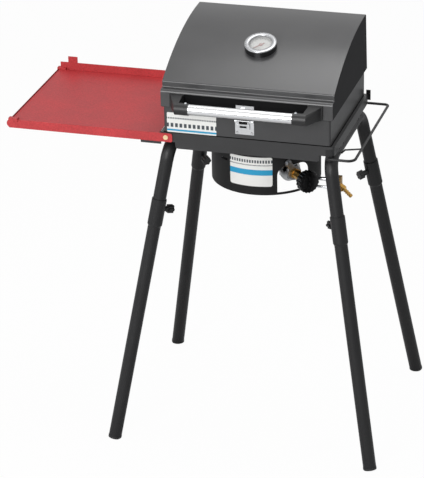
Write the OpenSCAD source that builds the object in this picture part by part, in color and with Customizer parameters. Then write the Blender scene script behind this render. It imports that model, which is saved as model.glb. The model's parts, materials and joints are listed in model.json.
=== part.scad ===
// Gas barbecue grill: a one-burner camp stove on four plug-in legs, with a
// folding side shelf, a folding wire rack and a hooded grill box on top.
// Millimetres. X runs to the right, Y to the rear and Z up. The origin is on
// the ground under the middle of the stove frame, and the front faces -Y.

/* [Stove frame] */
// Height of the frame's top above the ground
frame_top = 796; // [780:1:830]
// Width of the frame, left to right
frame_w = 426; // [424:1:440]
// Depth of the frame, front to rear
frame_d = 357; // [356:1:370]
// Height of the frame's skirt
skirt_h = 24; // [24:1:30]
// Thickness of the frame's sheet steel
frame_sheet = 1.5; // [1:0.1:2]
// Width of the rim that the grill box stands on
rim_w = 28; // [24:1:32]
// Depth of the pan pressed into the frame's top
pan_depth = 12; // [11:0.5:14]
// Distance from the frame's side in to the edge of the apron plate
apron_inset = 36; // [35:1:70]
// How far the apron reaches below the skirt
apron_drop = 16.5; // [8:0.5:24]

/* [Legs] */
// Outside diameter of the leg tube
tube_d = 32; // [28:0.5:32]
// Wall of the leg tube
tube_wall = 1.5; // [1.2:0.1:2]
// Radius of the bends, to the tube's middle
bend_r = 45; // [40:1:55]
// Distance from the frame's side in to the middle of the leg tube
tube_inset = 15.5; // [15:0.1:18]
// Distance from the frame's front in to the corner of the leg tube
corner_inset = 22.5; // [20:0.5:30]
// How far a leg leans to the side, from upright
lean_x = 9.65; // [9:0.05:10.3]
// How far a leg leans to the front or rear, from upright
lean_y = 8.65; // [8:0.05:9.3]
// Distance from the ground to the mouth of the leg sockets, along the leg
socket_top = 636; // [600:1:650]
// Length of the leg sockets
socket_l = 62; // [50:1:75]
// Wall of the leg sockets
socket_wall = 2.2; // [1.8:0.1:2.5]
// Running clearance of the tube in its socket, on the radius
socket_fit = 0.08; // [0.05:0.01:0.1]
// Length of the foot caps, which plug the legs
cap_l = 30; // [20:1:40]
// Diameter of the thumbscrew's plastic grip
grip_d = 22; // [16:1:26]

/* [Burner] */
// Outside diameter of the heat shield drum
drum_d = 268; // [260:1:276]
// Distance from the frame's top to the drum's lower edge
drum_drop = 161; // [158:1:175]
// Thickness of the drum's sheet
drum_sheet = 1.2; // [0.8:0.1:1.5]
// Width of the opening for the valve
opening_w = 86; // [70:1:90]
// Direction of the valve, from the right towards the front
valve_turn = 45; // [40:1:48]
// Distance from the frame's top down to the valve's middle
valve_drop = 110; // [106:1:114]
// Diameter of the burner head
burner_d = 118; // [90:1:130]
// Outside diameter of the mixer tube
mixer_d = 34; // [30:1:36]
// Diameter of the control knob
knob_d = 54; // [40:1:58]
// Length of the control knob
knob_l = 26; // [20:1:30]
// Diameter of the gas inlet pipe
pipe_d = 9; // [8:0.5:10]

/* [Side shelf] */
// Distance from the shelf's pivots to its outer edge
shelf_reach = 405; // [340:1:430]
// Height of the shelf's front rail
rail_h = 22; // [20:1:24]
// How far the rear rail stands above the tray
rear_rise = 19.5; // [10:0.5:24]
// Thickness of the shelf's sheet
shelf_sheet = 1.4; // [1:0.1:1.6]
// Diameter of the pivot rivets
rivet_d = 6; // [5:0.5:7]

/* [Wire rack] */
// Diameter of the rack's rod
rod_d = 6.4; // [5:0.1:7]
// Distance from the rack's pivots to its outer rod
rack_reach = 62; // [52:1:80]

/* [Grill box] */
// Ledge left on the frame at each side of the grill box
ledge_x = 9; // [7:0.5:15]
// Ledge left on the frame in front of the grill box and behind it
ledge_y = 2; // [2:0.5:8]
// Height of the seam between box and lid, above the frame's top
seam_h = 66; // [62:1:74]
// Thickness of the box and lid sheet
box_sheet = 1.2; // [0.8:0.1:1.4]
// Thickness of the cast cooking grates
grate_t = 10; // [8:1:12]
// Number of bars in each half of the cooking grate
grate_bars = 11; // [8:1:14]

/* [Lid] */
// How far the lid hangs over the grill box at each side
hang_x = 5.5; // [5:0.5:8]
// How far the lid hangs over the grill box at the front and the rear
hang_y = 3; // [3:0.5:5.5]
// Height of the lid's rear edge above the frame's top
lid_rise = 213; // [200:1:225]
// Height of the step in the lid's front above the seam
step_h = 43; // [39:1:48]
// Diameter of the handle tube
handle_d = 25.4; // [22:0.1:27]
// Distance from the lid's front to the handle's middle
handle_reach = 47; // [40:1:55]
// Length of the handle tube
handle_l = 282; // [270:1:290]
// Diameter of the thermometer's bezel
gauge_d = 78; // [60:1:84]
// Height of the thermometer's bezel
gauge_h = 15; // [12:0.5:18]
// Length of the thermometer's probe below the lid
probe_l = 55; // [40:1:80]

/* [Hidden] */
$fn = 64;

// Fits: a part that moves, a part that is pushed in, and the least air
run_fit = 0.08;
push_fit = 0.05;
gap = 0.3;
// How far a cutting body reaches past the face it opens
over = 2;
// How far straight tubes reach into their bends, and the bends' extra diameter
lap = 1.5;
swell = 0.3;
nip = 0.6;

// Legs: the lean in the plane of a bent tube, and the places along the leg
lean_in = atan(tan(lean_y) * cos(lean_x));
tube_r = tube_d / 2;
run_z = frame_top - skirt_h - tube_r;
run_up = run_z / cos(lean_x);
corner_y = frame_d / 2 - corner_inset;
foot_y = corner_y + run_up * tan(lean_in);
bend_turn = 90 - lean_in;
bend_t = bend_r * tan(bend_turn / 2);
leg_corner = run_up / cos(lean_in);
run_x = frame_w / 2 - tube_inset;
foot_x = run_x + run_z * tan(lean_x);
socket_r = tube_r + socket_fit;
// The socket's outside, the thumbscrew's boss on it and the screw's height
boss_at = socket_r + socket_wall;
boss_h = 4;
thread_d = 6;
screw_at = socket_top - 26;
seat_at = socket_top - socket_l;

// Burner: places counted outwards from the burner's middle
drum_r = drum_d / 2;
pan_z = frame_top - pan_depth;
valve_z = frame_top - valve_drop;
mouth_r = drum_r - 20;
mouth_d = 52;
drum_screw_r = drum_r - 7;
screw_hole = 5.3;
bolt_hole = 6.4;
saddle_y = 92;
label_t = 0.35;
stem_d = 8;
// The bracket's lug beside and above the valve's axis
lug_y = -17;
lug_z = 29;
// The valve's side port, which faces right, the hose fitting and its stay
port_x = (drum_r + 12) * cos(valve_turn);
port_y = -(drum_r + 17.6) * sin(valve_turn);
port_z = valve_z - 3;
barb_x = port_x + 97;
stay_d = 6;
stay_x = port_x + 22;
stay_drop = 24;
stay_side = stay_x * sin(valve_turn) + port_y * cos(valve_turn);

// Side shelf and rack
pivot_x = frame_w / 2 - 14;
pivot_z = frame_top - 12;
rail_y = frame_d / 2 + 1.1;
tray_z = frame_top - 4;
rack_x = frame_w / 2 - 12;
rack_z = frame_top - skirt_h - rod_d / 2 - 0.4;
rack_y = frame_d / 2 + 8.4;

// Grill box and lid: their sizes, the dome's axis and the hinge's axis
box_w = frame_w - 2 * ledge_x;
box_d = frame_d - 2 * ledge_y;
lid_w = box_w + 2 * hang_x;
lid_d = box_d + 2 * hang_y;
front_y = -lid_d / 2;
dome_y = lid_d / 2 - 20.2;
step_y = front_y + 16.5;
// The fold over the upright band, and the nook between the band and the step
fold_r = 4;
nook_r = 3;
band_h = 13;
fold_y = step_y + fold_r;
fold_rise = lid_rise - fold_r - seam_h - step_h - band_h;
// The dome runs from the fold up to its summit at the rear, on a whole radius
dome_r = round((pow(dome_y - fold_y, 2) + pow(fold_rise, 2)) / (2 * fold_rise)) + fold_r;
dome_z = frame_top + lid_rise - dome_r;
fold_z = dome_z + sqrt(pow(dome_r - fold_r, 2) - pow(dome_y - fold_y, 2));
step_z = round(fold_z - band_h);
rear_lean = 5.8;
hinge_y = lid_d / 2 + 7;
hinge_z = frame_top + seam_h - 2;
hinge_x = lid_w / 2 - 89.5;
hinge_pin_d = 5;
latch_z = frame_top + 47;
latch_pin_d = 3;
// The diffuser's feet in the grill box
diffuser_x = box_w / 2 - 42;
diffuser_y = box_d / 2 - 39.5;
handle_y = front_y - handle_reach;
handle_z = frame_top + seam_h + 17;
// The handle's caps: their inner ends, their screws and their bolts
cap_x = handle_l / 2 - 15;
cap_screw_x = handle_l / 2 - 8;
bolt_x = handle_l / 2 + 27;
bolt_z = handle_z + 1.5;
gauge_y = front_y + 141.5;
gauge_tilt = asin((dome_y - gauge_y) / dome_r);

// A block given by its lowest and its highest corner
module block(low, high) {
    translate(low) cube(high - low);
}

// A cylinder along X, starting at a point
module rod_x(at, d, l) {
    translate(at) rotate([0, 90, 0]) cylinder(d = d, h = l);
}

// A cylinder along Y, starting at a point and running to the rear
module rod_y(at, d, l) {
    translate(at) rotate([-90, 0, 0]) cylinder(d = d, h = l);
}

// A round bar from one point to another
module bar(a, b, d) {
    v = b - a;
    translate(a)
        rotate([0, acos(v[2] / norm(v)), atan2(v[1], v[0])])
            cylinder(d = d, h = norm(v));
}

// An upright block with rounded corners, centred on the Z axis
module slab(w, d, r, low, high) {
    block([-w / 2 + r, -d / 2, low], [w / 2 - r, d / 2, high]);
    block([-w / 2, -d / 2 + r, low], [w / 2, d / 2 - r, high]);
    for (x = [-w / 2 + r, w / 2 - r], y = [-d / 2 + r, d / 2 - r])
        translate([x, y, low]) cylinder(r = r, h = high - low);
}

// A hexagon head or nut on a round collar, standing on the XY plane
module hex_head(w, h) {
    cylinder(d = w / cos(30), h = h, $fn = 6);
}

// Copies a front-right part to the other side and to the rear
module corner(side, end) {
    mirror([side < 0 ? 1 : 0, 0, 0]) mirror([0, end > 0 ? 1 : 0, 0]) children();
}

// The plane of a bent leg tube, with its foot line on the local Y axis
module leg_plane() {
    translate([foot_x, 0, 0]) rotate([0, -lean_x, 0]) children();
}

// A leg's own axis, with Z running up the leg from the ground
module leg_axis() {
    leg_plane() translate([0, -foot_y, 0]) rotate([-lean_in, 0, 0]) children();
}

// The valve's axis, with X running outwards from the burner's middle
module valve_axis() {
    translate([0, 0, valve_z]) rotate([0, 0, -valve_turn]) children();
}

// ---- Stove frame ----

module stove_frame() color("#3c3c3e") difference() {
    slab(frame_w, frame_d, 6, frame_top - skirt_h, frame_top);
    difference() {
        slab(frame_w - 2 * frame_sheet, frame_d - 2 * frame_sheet, 4.5,
            frame_top - skirt_h - over, frame_top - frame_sheet);
        slab(frame_w - 2 * rim_w + 2 * frame_sheet, frame_d - 2 * rim_w + 2 * frame_sheet,
            9.5, pan_z - frame_sheet, frame_top);
    }
    slab(frame_w - 2 * rim_w, frame_d - 2 * rim_w, 8, pan_z, frame_top + over);
    translate([0, 0, pan_z - over * 2]) cylinder(r = drum_r - 14, h = over * 4);
    for (a = [45:90:315]) rotate([0, 0, a]) translate([drum_screw_r, 0, pan_z - 2 * over])
        cylinder(d = screw_hole, h = 4 * over);
    for (side = [-1, 1], end = [-1, 1]) corner(side, end)
        translate([run_x, -saddle_y, frame_top - 2 * over]) cylinder(d = bolt_hole, h = 4 * over);
    for (end = [-1, 1])
        rod_y([-pivot_x, end * frame_d / 2 - 5, pivot_z], rivet_d + 2 * push_fit, 10);
}

module front_apron() color("#404042") {
    apron_w = frame_w - 2 * apron_inset;
    inner_y = -frame_d / 2 + frame_sheet;
    low = frame_top - skirt_h - apron_drop;
    r = 8;
    block([-apron_w / 2, inner_y, low + r],
        [apron_w / 2, inner_y + frame_sheet, frame_top - 5]);
    block([-apron_w / 2 + r, inner_y, low],
        [apron_w / 2 - r, inner_y + frame_sheet, low + r + 1]);
    for (x = [-apron_w / 2 + r, apron_w / 2 - r])
        rod_y([x, inner_y, low + r], 2 * r, frame_sheet);
    block([-apron_w / 2 + r, inner_y, low],
        [apron_w / 2 - r, inner_y + 5, low + frame_sheet]);
}

// ---- Legs ----

// A leg tube's path as a solid: a run under the skirt, two bends and two upper legs.
// The bends are a hair fuller than the straights, and the straights lap into them.
module tube_path(d) {
    mid_y = corner_y - bend_t;
    translate([0, -mid_y - lap, run_up]) rotate([-90, 0, 0])
        cylinder(d = d, h = 2 * mid_y + 2 * lap);
    for (end = [0, 1]) mirror([0, end, 0]) {
        translate([0, -mid_y, run_up - bend_r]) rotate([180, -90, 0])
            rotate_extrude(angle = bend_turn) translate([bend_r, 0]) circle(d = d + swell);
        translate([0, -foot_y, 0]) rotate([-lean_in, 0, 0]) translate([0, 0, seat_at + gap])
            cylinder(d = d, h = leg_corner - bend_t - seat_at - gap + lap);
    }
}

module ring(d, wall, h) {
    difference() {
        cylinder(d = d, h = h);
        translate([0, 0, -over]) cylinder(d = d - 2 * wall, h = h + 2 * over);
    }
}

module leg_tube_right() color("#1e1e20") difference() {
    leg_plane() tube_path(tube_d);
    leg_plane() {
        tube_path(tube_d - 2 * tube_wall);
        for (end = [0, 1]) mirror([0, end, 0])
            translate([0, -foot_y, 0]) rotate([-lean_in, 0, 0]) translate([0, 0, seat_at - over])
                cylinder(d = tube_d - 2 * tube_wall, h = 2 * over);
    }
    for (end = [-1, 1])
        translate([run_x, end * saddle_y, run_z - tube_d]) cylinder(d = 6.4, h = 2 * tube_d);
}

module leg_tube_left() rotate([0, 0, 180]) leg_tube_right();

module tube_saddles() color("#303032") {
    in_x = frame_w / 2 - rim_w + frame_sheet + gap;
    out_x = frame_w / 2 - frame_sheet - gap;
    high = frame_top - frame_sheet;
    for (side = [-1, 1], end = [-1, 1]) corner(side, end) difference() {
        block([in_x, -saddle_y - 20, run_z + 2], [out_x, -saddle_y + 20, high]);
        for (y = [-17.5, 7])
            block([in_x - over, y - saddle_y, run_z - over],
                [out_x + over, y + 10.5 - saddle_y, high - 2.5]);
        rod_y([run_x, -saddle_y - 30, run_z], tube_d + 2 * push_fit, 60);
        translate([run_x, -saddle_y, run_z]) cylinder(d = bolt_hole, h = 60);
    }
}

module saddle_bolts() color("#8a8a8c")
    for (side = [-1, 1], end = [-1, 1]) corner(side, end)
        translate([run_x, -saddle_y, 0]) {
            translate([0, 0, run_z - tube_r - 5.2]) {
                hex_head(10, 4);
                cylinder(d = 13, h = 5);
            }
            translate([0, 0, run_z - tube_r - 1]) cylinder(d = 6, h = frame_top - run_z + tube_r);
        }

module lower_leg() color("#1e1e20") corner(1, -1) leg_axis() difference() {
    union() {
        rotate_extrude() polygon([[tube_r - tube_wall, 6], [tube_r, 6],
            [tube_r, seat_at - 8], [boss_at, seat_at - 3], [boss_at, socket_top],
            [socket_r, socket_top], [socket_r, seat_at], [tube_r - tube_wall, seat_at]]);
        // The threaded boss that is welded on for the thumbscrew
        translate([0, 0, screw_at]) rotate([0, 90, 135])
            translate([0, 0, boss_at - 1.4]) cylinder(d = 13, h = boss_h + 1.4);
    }
    translate([0, 0, screw_at]) rotate([0, 90, 135])
        cylinder(d = thread_d + 2 * run_fit, h = 2 * tube_d);
}

module lower_leg_front_right() corner(1, -1) lower_leg();
module lower_leg_front_left() corner(-1, -1) lower_leg();
module lower_leg_rear_right() corner(1, 1) lower_leg();
module lower_leg_rear_left() corner(-1, 1) lower_leg();

// A plastic cap over the leg's end, trimmed level where it meets the ground
module foot_cap() color("#161617") difference() {
    bore = tube_d - 2 * tube_wall;
    leg_axis() difference() {
        union() {
            cylinder(d = tube_d + 1, h = 6 - push_fit);
            cylinder(d = bore - 2 * push_fit, h = cap_l);
        }
        translate([0, 0, 6]) cylinder(d = bore - 7, h = cap_l);
    }
    block([foot_x - 60, -foot_y - 60, -30], [foot_x + 60, -foot_y + 60, 0]);
}

module foot_cap_front_right() corner(1, -1) foot_cap();
module foot_cap_front_left() corner(-1, -1) foot_cap();
module foot_cap_rear_right() corner(1, 1) foot_cap();
module foot_cap_rear_left() corner(-1, 1) foot_cap();

module thumbscrew() color("#1a1a1b") leg_axis() translate([0, 0, screw_at])
    rotate([0, 90, 135]) {
        translate([0, 0, boss_at + 1]) cylinder(d = thread_d, h = 14);
        translate([0, 0, boss_at + boss_h + 0.5]) cylinder(d = 13, h = 6);
        translate([0, 0, boss_at + boss_h + 5.5]) difference() {
            cylinder(d = grip_d, h = 14);
            for (a = [0:60:300]) rotate([0, 0, a]) translate([grip_d / 2 + 1.5, 0, -over])
                cylinder(d = 7, h = 14 + 2 * over);
        }
    }

module thumbscrew_front_right() corner(1, -1) thumbscrew();
module thumbscrew_front_left() corner(-1, -1) thumbscrew();
module thumbscrew_rear_right() corner(1, 1) thumbscrew();
module thumbscrew_rear_left() corner(-1, 1) thumbscrew();

// ---- Burner ----

module drum() color("#2c2c2e") difference() {
    union() {
        translate([0, 0, frame_top - drum_drop])
            ring(drum_d, drum_sheet, drum_drop - pan_depth - frame_sheet);
        translate([0, 0, pan_z - frame_sheet - 1.5]) ring(drum_d - 1, 13, 1.5);
        translate([0, 0, frame_top - drum_drop]) ring(drum_d - 1, 4, 1.5);
    }
    valve_opening();
    rotate([0, 0, -124]) translate([drum_r, 0, frame_top - 82]) {
        block([-6, -9, -3], [6, 9, 3]);
        for (y = [-9, 9]) rod_x([-6, y, 0], 6, 12);
    }
    for (a = [45:90:315]) rotate([0, 0, a]) translate([drum_screw_r, 0, pan_z - 10])
        cylinder(d = screw_hole, h = 12);
    valve_axis() rod_x([drum_r - 12, lug_y, lug_z], bolt_hole, 24);
}

// The opening in the drum's side that the burner's fittings pass through
module valve_opening() valve_axis() {
    w = opening_w / 2;
    r = 24;
    low = valve_drop - drum_drop + 6;
    high = valve_drop - 88;
    block([drum_r - 45, -w, low], [drum_r + 10, w, high - r]);
    block([drum_r - 45, -w + r, low], [drum_r + 10, w - r, high]);
    for (y = [-w + r, w - r]) rod_x([drum_r - 45, y, high - r], 2 * r, 55);
}

module drum_screws() color("#a0a0a2") {
    for (a = [45:90:315]) rotate([0, 0, a]) translate([drum_screw_r, 0, 0]) {
        translate([0, 0, pan_z - frame_sheet - 4.6]) cylinder(d = 9.5, h = 3);
        translate([0, 0, pan_z - frame_sheet - 3]) cylinder(d = 5, h = 9);
        translate([0, 0, pan_z + 0.1]) hex_head(8, 3.5);
    }
    valve_axis() translate([0, lug_y, lug_z]) rotate([0, 90, 0]) {
        translate([0, 0, drum_r + 2.3]) cylinder(d = 13, h = 1.2);
        translate([0, 0, drum_r + 3]) hex_head(10, 4.5);
        translate([0, 0, drum_r - 9]) cylinder(d = 6, h = 13);
        translate([0, 0, drum_r - 8]) hex_head(9, 4.5);
    }
}

module drum_label() color("#c9cbcc") rotate([0, 0, -92]) intersection() {
    half_w = 53;
    half_h = 37.7;
    r = 5;
    translate([0, 0, frame_top - drum_drop])
        ring(drum_d + 2 * label_t, label_t, drum_drop);
    translate([drum_r, 0, frame_top - 100.8]) {
        block([-20, -half_w, r - half_h], [20, half_w, half_h - r]);
        block([-20, r - half_w, -half_h], [20, half_w - r, half_h]);
        for (y = [r - half_w, half_w - r], z = [r - half_h, half_h - r])
            rod_x([-20, y, z], 2 * r, 40);
    }
}

module burner_head() color("#55565a") difference() {
    translate([0, 0, frame_top - 74]) rotate_extrude() polygon([[17.2, 0], [24, 0], [26, 14],
        [burner_d / 2, 22], [burner_d / 2, 32], [burner_d / 2 - 10, 42], [20, 45], [0, 45],
        [0, 41], [20, 41], [burner_d / 2 - 12, 38], [burner_d / 2 - 4, 31],
        [burner_d / 2 - 4, 26], [22, 17], [17.2, 12]]);
    for (a = [0:30:330]) rotate([0, 0, a])
        translate([burner_d / 2 - 14, 0, frame_top - 45]) cylinder(d = 5, h = 20);
}

module mixer_tube() color("#b5b7b8") {
    bend = 26;
    valve_axis() {
        translate([0, 0, bend]) ring(mixer_d, 1.5, valve_drop - 72 - bend);
        translate([bend, 0, bend]) rotate([-90, 0, 0]) mirror([0, 1, 0]) rotate([0, 0, 180])
            rotate_extrude(angle = 90) translate([bend, 0]) difference() {
                circle(d = mixer_d);
                circle(d = mixer_d - 3);
            }
        rotate([0, 90, 0]) {
            translate([0, 0, bend]) ring(mixer_d, 1.5, mouth_r - 14 - bend);
            translate([0, 0, mouth_r - 14]) difference() {
                cylinder(d1 = mixer_d, d2 = mouth_d, h = 8);
                translate([0, 0, -0.01]) cylinder(d1 = mixer_d - 3, d2 = mouth_d - 3, h = 8.02);
            }
            translate([0, 0, mouth_r - 6]) ring(mouth_d, 1.5, 6);
            translate([0, 0, mouth_r]) difference() {
                union() {
                    cylinder(d = mouth_d, h = 1.5);
                    cylinder(d = 14, h = 5);
                }
                translate([0, 0, -over]) cylinder(d = 8.4, h = 10);
                windows();
            }
        }
    }
}

// Three air windows round the mixer's mouth
module windows() {
    for (a = [0:120:240]) rotate([0, 0, a]) for (b = [-14, 0, 14]) rotate([0, 0, b])
        translate([16, 0, -over]) cylinder(d = 11, h = 10);
}

module air_shutter() color("#c2c4c6") valve_axis() rotate([0, 90, 0])
    translate([0, 0, mouth_r + 1.7]) difference() {
        union() {
            cylinder(d = mouth_d + 2, h = 1.2);
            block([-5, -mouth_d / 2 - 5, 0], [5, -20, 1.2]);
            block([-5, -mouth_d / 2 - 5, 0], [5, -mouth_d / 2 - 3.8, 8]);
        }
        translate([0, 0, -over]) cylinder(d = 14 + 2 * run_fit, h = 10);
        windows();
    }

module burner_strap() color("#6e6f72") rotate([0, 0, 45]) difference() {
    low = frame_top - 83;
    t = 2.5;
    in_r = drum_r - drum_sheet - 0.1;
    union() {
        block([-drum_r, -13, low], [drum_r, 13, low + t]);
        for (side = [0, 1]) mirror([side, 0, 0])
            block([in_r - 5, -13, low], [drum_r, 13, low + 21]);
        translate([0, 0, low]) cylinder(d = 58, h = t);
    }
    translate([0, 0, low - over]) cylinder(d = mixer_d + 0.2, h = 20);
    difference() {
        translate([0, 0, low - over]) cylinder(r = drum_r + 20, h = 40);
        translate([0, 0, low - 2 * over]) cylinder(r = in_r, h = 48);
    }
    translate([0, 0, low + t]) cylinder(r = in_r - t, h = 30);
}

module valve_bracket() color("#9a9b9d") valve_axis() translate([drum_r + 0.2, 0, 0])
    rotate([90, 0, 90]) difference() {
        union() {
            linear_extrude(2) union() {
                circle(d = 36);
                translate([lug_y, lug_z]) circle(d = 18);
                rotate([0, 0, atan(-lug_y / lug_z)]) translate([-8, 0]) square([16, 33]);
                translate([stay_side, -stay_drop]) circle(d = 14);
                rotate([0, 0, 180 + atan(stay_side / stay_drop)]) translate([-6, 0])
                    square([12, 27]);
            }
            translate([lug_y, lug_z, -0.55]) cylinder(d = 12, h = 0.6);
        }
        translate([0, 0, -over]) cylinder(d = 16 + 2 * push_fit, h = 8);
        translate([lug_y, lug_z, -over]) cylinder(d = bolt_hole, h = 8);
        translate([stay_side, -stay_drop, -over]) cylinder(d = stay_d + 2 * push_fit, h = 8);
    }

module valve_body() color("#c9a24a") difference() {
    union() {
        valve_axis() rotate([0, 90, 0]) {
            translate([0, 0, mouth_r + 2]) cylinder(d = 8, h = 10);
            translate([0, 0, mouth_r + 10]) cylinder(d = 12, h = 9);
            translate([0, 0, mouth_r + 15]) cylinder(d = 16, h = drum_r + 4 - mouth_r - 15);
            translate([0, 0, drum_r + 2.5]) hex_head(24, 8);
            translate([0, 0, drum_r + 10]) cylinder(d = 22, h = 26);
            translate([0, 0, drum_r + 36]) hex_head(19, 8);
        }
        rod_x([port_x, port_y, port_z], 15, 22);
    }
    valve_axis() {
        rod_x([mouth_r, 0, 0], 1.2, 12);
        rod_x([drum_r + 24, 0, 0], stem_d + 2 * run_fit, 40);
    }
    rod_x([port_x + 14, port_y, port_z], pipe_d + 2 * push_fit, 20);
    rod_x([port_x + 2, port_y, port_z], 4, 20);
}

module inlet_pipe() color("#b9bbbd") difference() {
    rod_x([port_x + 14.2, port_y, port_z], pipe_d, barb_x - port_x - 14.2 + 6);
    rod_x([port_x, port_y, port_z], pipe_d - 2, 150);
}

// Stay of the hose fitting: from the valve bracket along the valve, then to the right
module stay_rod() color("#a9abad") {
    z = valve_z - stay_drop;
    valve_axis() rod_x([drum_r - 0.5, stay_side, -stay_drop], stay_d,
        stay_x / cos(valve_turn) - stay_side * tan(valve_turn) - drum_r + 0.5);
    translate([stay_x, port_y, z]) sphere(d = stay_d + 0.4);
    rod_x([stay_x, port_y, z], stay_d, barb_x - stay_x + 6);
}

// Brass block with a ribbed barb that points down to the right
module hose_barb() color("#c9a24a") {
    difference() {
        block([barb_x, port_y - 10, valve_z - 32], [barb_x + 14, port_y + 10, valve_z + 6]);
        rod_x([barb_x - over, port_y, port_z], pipe_d + 2 * push_fit, 8.1);
        rod_x([barb_x - over, port_y, valve_z - stay_drop], stay_d + 2 * push_fit, 8.1);
    }
    translate([barb_x + 10, port_y, valve_z - 15]) rotate([0, 134, 0]) difference() {
        union() {
            cylinder(d = 14, h = 10);
            translate([0, 0, 8]) hex_head(15, 7);
            translate([0, 0, 14]) cylinder(d = 8, h = 26);
            for (z = [17:6:35]) translate([0, 0, z]) cylinder(d1 = 11, d2 = 8, h = 5);
        }
        translate([0, 0, 12]) cylinder(d = 5, h = 40);
    }
}

module valve_stem() color("#d8d8da") valve_axis() rod_x([drum_r + 26, 0, 0], stem_d, 45);

module control_knob() color("#141415") valve_axis() rotate([0, 90, 0])
    translate([0, 0, drum_r + 51]) difference() {
        union() {
            cylinder(d = knob_d - 12, h = knob_l);
            translate([0, 0, 2]) cylinder(d = knob_d - 4, h = knob_l - 7);
            for (a = [0:20:340]) rotate([0, 0, a])
                translate([knob_d / 2 - 3.5, 0, 3]) cylinder(d = 7, h = knob_l - 9);
            translate([-knob_d / 2 + 8, -3, knob_l - 4]) cube([knob_d / 2, 6, 7]);
        }
        translate([0, 0, -over]) cylinder(d = stem_d + 2 * push_fit, h = 22 + over);
    }

module stove_grate() color("#26262a") difference() {
    w = frame_w - 2 * rim_w - 6;
    d = frame_d - 2 * rim_w - 6;
    union() {
        difference() {
            slab(w, d, 6, pan_z + 0.05, frame_top - 3);
            slab(w - 18, d - 18, 3, pan_z - over, frame_top);
        }
        for (x = [-120:40:120])
            block([x - 4, -d / 2 + 4, pan_z + 2], [x + 4, d / 2 - 4, frame_top - 3]);
        for (y = [-60, 60])
            block([-w / 2 + 4, y - 4, pan_z + 2], [w / 2 - 4, y + 4, frame_top - 3]);
    }
    for (a = [45:90:315]) rotate([0, 0, a]) translate([drum_screw_r, 0, pan_z - 5])
        cylinder(d = 14, h = 20);
}

// ---- Side shelf and rack ----

// The end of a shelf rail past its rivet, with two rounded corners
module rail_end(y, low) {
    r = 4;
    x = -pivot_x + 16;
    block([-pivot_x + 4, y, low], [x - r, y + shelf_sheet, low + rail_h]);
    block([x - r - 1, y, low + r], [x, y + shelf_sheet, low + rail_h - r]);
    for (z = [r, rail_h - r]) rod_y([x - r, y, low + z], 2 * r, shelf_sheet);
}

module side_shelf() color("#b33b3d") {
    outer = -pivot_x - shelf_reach;
    inner = -frame_w / 2 - 4.5;
    t = shelf_sheet;
    low = frame_top - skirt_h;
    difference() {
        union() {
            block([outer + 7, -rail_y - t, tray_z - t], [inner, rail_y + t, tray_z]);
            block([outer + 7, -rail_y - t, low], [-pivot_x + 5, -rail_y, low + rail_h]);
            rod_y([outer + 12, -rail_y - t, low + rail_h / 2], rail_h, t);
            rail_end(-rail_y - t, low);
            block([outer + 14, rail_y, low], [-pivot_x + 5, rail_y + t, tray_z]);
            block([outer + 14, rail_y, tray_z - 1], [-frame_w / 2 - 8, rail_y + t,
                tray_z + rear_rise]);
            rail_end(rail_y, low);
            block([outer + 35, rail_y, tray_z + rear_rise - 1], [outer + 60, rail_y + t,
                tray_z + rear_rise + 16]);
            block([outer + 7, -rail_y, low + 6], [outer + 7 + t, rail_y, tray_z]);
            for (y = [-rail_y + 1, rail_y - 1]) translate([outer + 12, y, 0])
                block([-5, -6, tray_z - 1], [18, 6, tray_z + 6]);
        }
        for (end = [-1, 1])
            rod_y([-pivot_x, end * rail_y - 5, pivot_z], rivet_d + 2 * run_fit, 10);
    }
}

module shelf_rivets() color("#e6cba8") for (end = [-1, 1]) mirror([0, end > 0 ? 1 : 0, 0]) {
    rod_y([-pivot_x, -frame_d / 2 - 0.9, pivot_z], rivet_d, 4.5);
    rod_y([-pivot_x, -rail_y - shelf_sheet - 0.3, pivot_z], rivet_d, 4);
    rod_y([-pivot_x, -rail_y - shelf_sheet - 2.3, pivot_z], 12, 2);
    rod_y([-pivot_x, -frame_d / 2 + frame_sheet + 0.1, pivot_z], 11, 2);
    rod_y([-pivot_x, -rail_y + 0.1, pivot_z], 10, 0.95);
}

module shelf_supports() color("#2a2a2c") for (end = [-1, 1]) mirror([0, end > 0 ? 1 : 0, 0]) {
    x = -frame_w / 2;
    y = -frame_d / 2 + 4;
    high = tray_z - shelf_sheet - 0.1;
    difference() {
        block([x - 51, y, frame_top - 33], [x, y + 2, high]);
        translate([x - 51, y - over, frame_top - 33]) rotate([0, 55, 0])
            block([-20, 0, -60], [60, 10, 0]);
    }
    block([x - 51, y, high - 2], [x, y + 16, high]);
    block([x - 2, y, frame_top - 24], [x, y + 16, high]);
}

module rack_hangers() color("#333335") for (end = [-1, 1]) mirror([0, end > 0 ? 1 : 0, 0]) {
    y = -frame_d / 2;
    difference() {
        union() {
            block([rack_x - 8, y - 2, rack_z], [rack_x + 8, y, frame_top - 8]);
            rod_y([rack_x, y - 2, rack_z], 16, 2);
            if (end > 0) block([rack_x + 7, y - 2, frame_top - 16],
                [rack_x + 18, y, frame_top + 10]);
        }
        rod_y([rack_x, y - 5, rack_z], rod_d + 2 * run_fit, 10);
    }
}

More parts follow.
